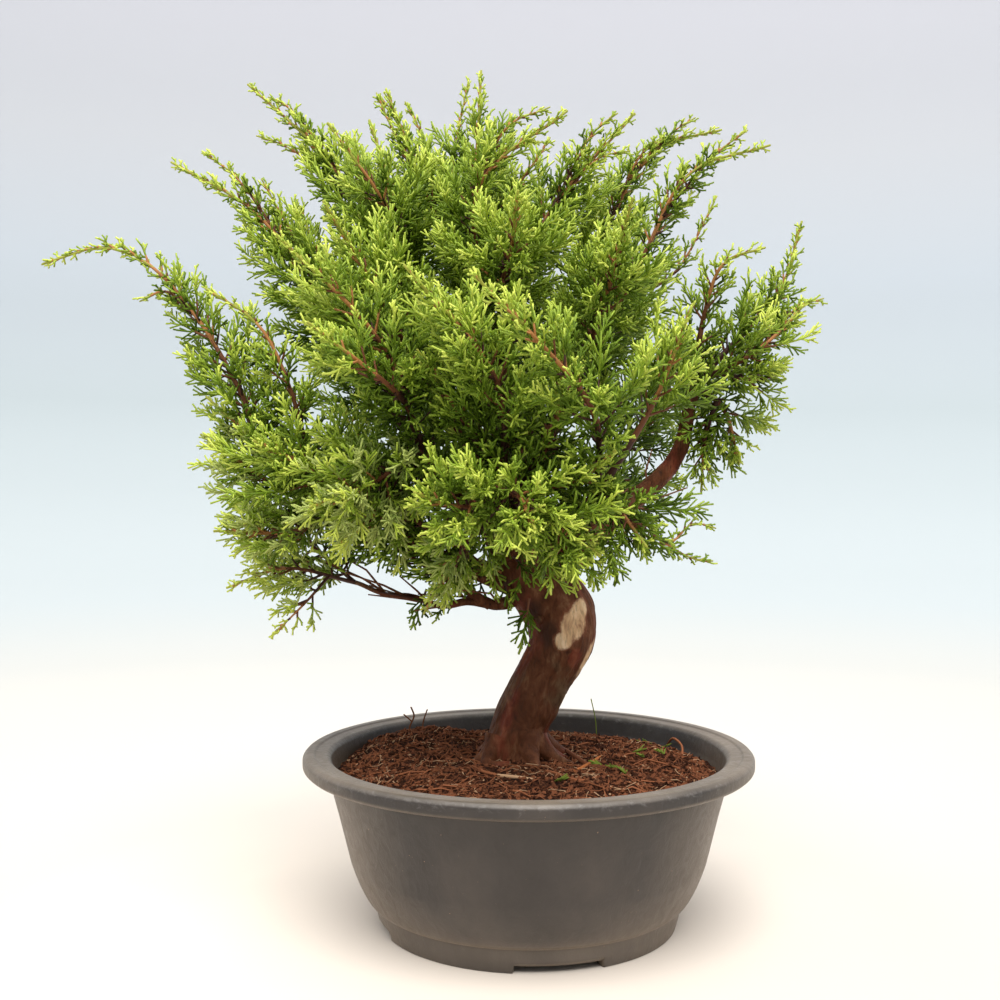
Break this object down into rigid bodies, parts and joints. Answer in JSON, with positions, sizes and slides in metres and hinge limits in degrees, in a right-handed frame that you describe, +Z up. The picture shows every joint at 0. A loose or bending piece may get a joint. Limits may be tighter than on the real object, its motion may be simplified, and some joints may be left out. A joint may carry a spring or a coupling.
{
  "type": "potted juniper bonsai",
  "caption": "Itoigawa Chinese juniper grown as a small ornamental tree: a short bent trunk, spreading boughs and full sprays of scale leaves, standing in a round dark plastic pot.",
  "frame": {"origin": "middle of the underside of the plant's bounding box, on the plane the pot stands on", "axes": "+Z up, -Y towards the viewer of the picture, +X to that viewer's right"},
  "size_m": [0.4644, 0.3716, 0.545],
  "materials": {
    "pot": "dark grey plastic with a faint grain, scuffed on the rim",
    "soil": "moist reddish-brown peat and bark compost",
    "bark": "thin flaking reddish-brown bark",
    "foliage": "matte scale leaves, yellow-green at the tips"
  },
  "bodies": {
    "root": {"pot": "pot", "soil": "soil", "trunk": "bark", "bough_low_left": "bark", "bough_left": "bark", "bough_right_low": "bark", "bough_front_right": "bark", "bough_front": "bark", "bough_front_left": "bark", "bough_back_right": "bark", "bough_back": "bark", "bough_back_left": "bark", "bough_upper_left": "bark", "bough_upper_right": "bark", "bough_top": "bark", "bough_right_rise": "bark", "foliage_low_left": "foliage", "foliage_low_left_back": "foliage", "foliage_left_long": "foliage", "foliage_left_front": "foliage", "foliage_left_side": "foliage", "foliage_upper_left_low": "foliage", "foliage_upper_left_high": "foliage", "foliage_upper_left_back": "foliage", "foliage_upper_left_front": "foliage", "foliage_top_left": "foliage", "foliage_top_right": "foliage", "foliage_top_front": "foliage", "foliage_upper_right_high": "foliage", "foliage_upper_right_out": "foliage", "foliage_upper_right_front": "foliage", "foliage_upper_right_back": "foliage", "foliage_right_peak": "foliage", "foliage_right_up": "foliage", "foliage_right_out": "foliage", "foliage_right_drop": "foliage", "foliage_front_long": "foliage", "foliage_front_right": "foliage", "foliage_front_right_low": "foliage", "foliage_front_low": "foliage", "foliage_front_rise": "foliage", "foliage_front_middle": "foliage", "foliage_front_drop": "foliage", "foliage_front_left": "foliage", "foliage_front_left_low": "foliage", "foliage_back_left": "foliage", "foliage_back_left_low": "foliage", "foliage_back": "foliage", "foliage_back_low": "foliage", "foliage_back_right": "foliage", "foliage_back_right_low": "foliage"}
  },
  "joints": []
}
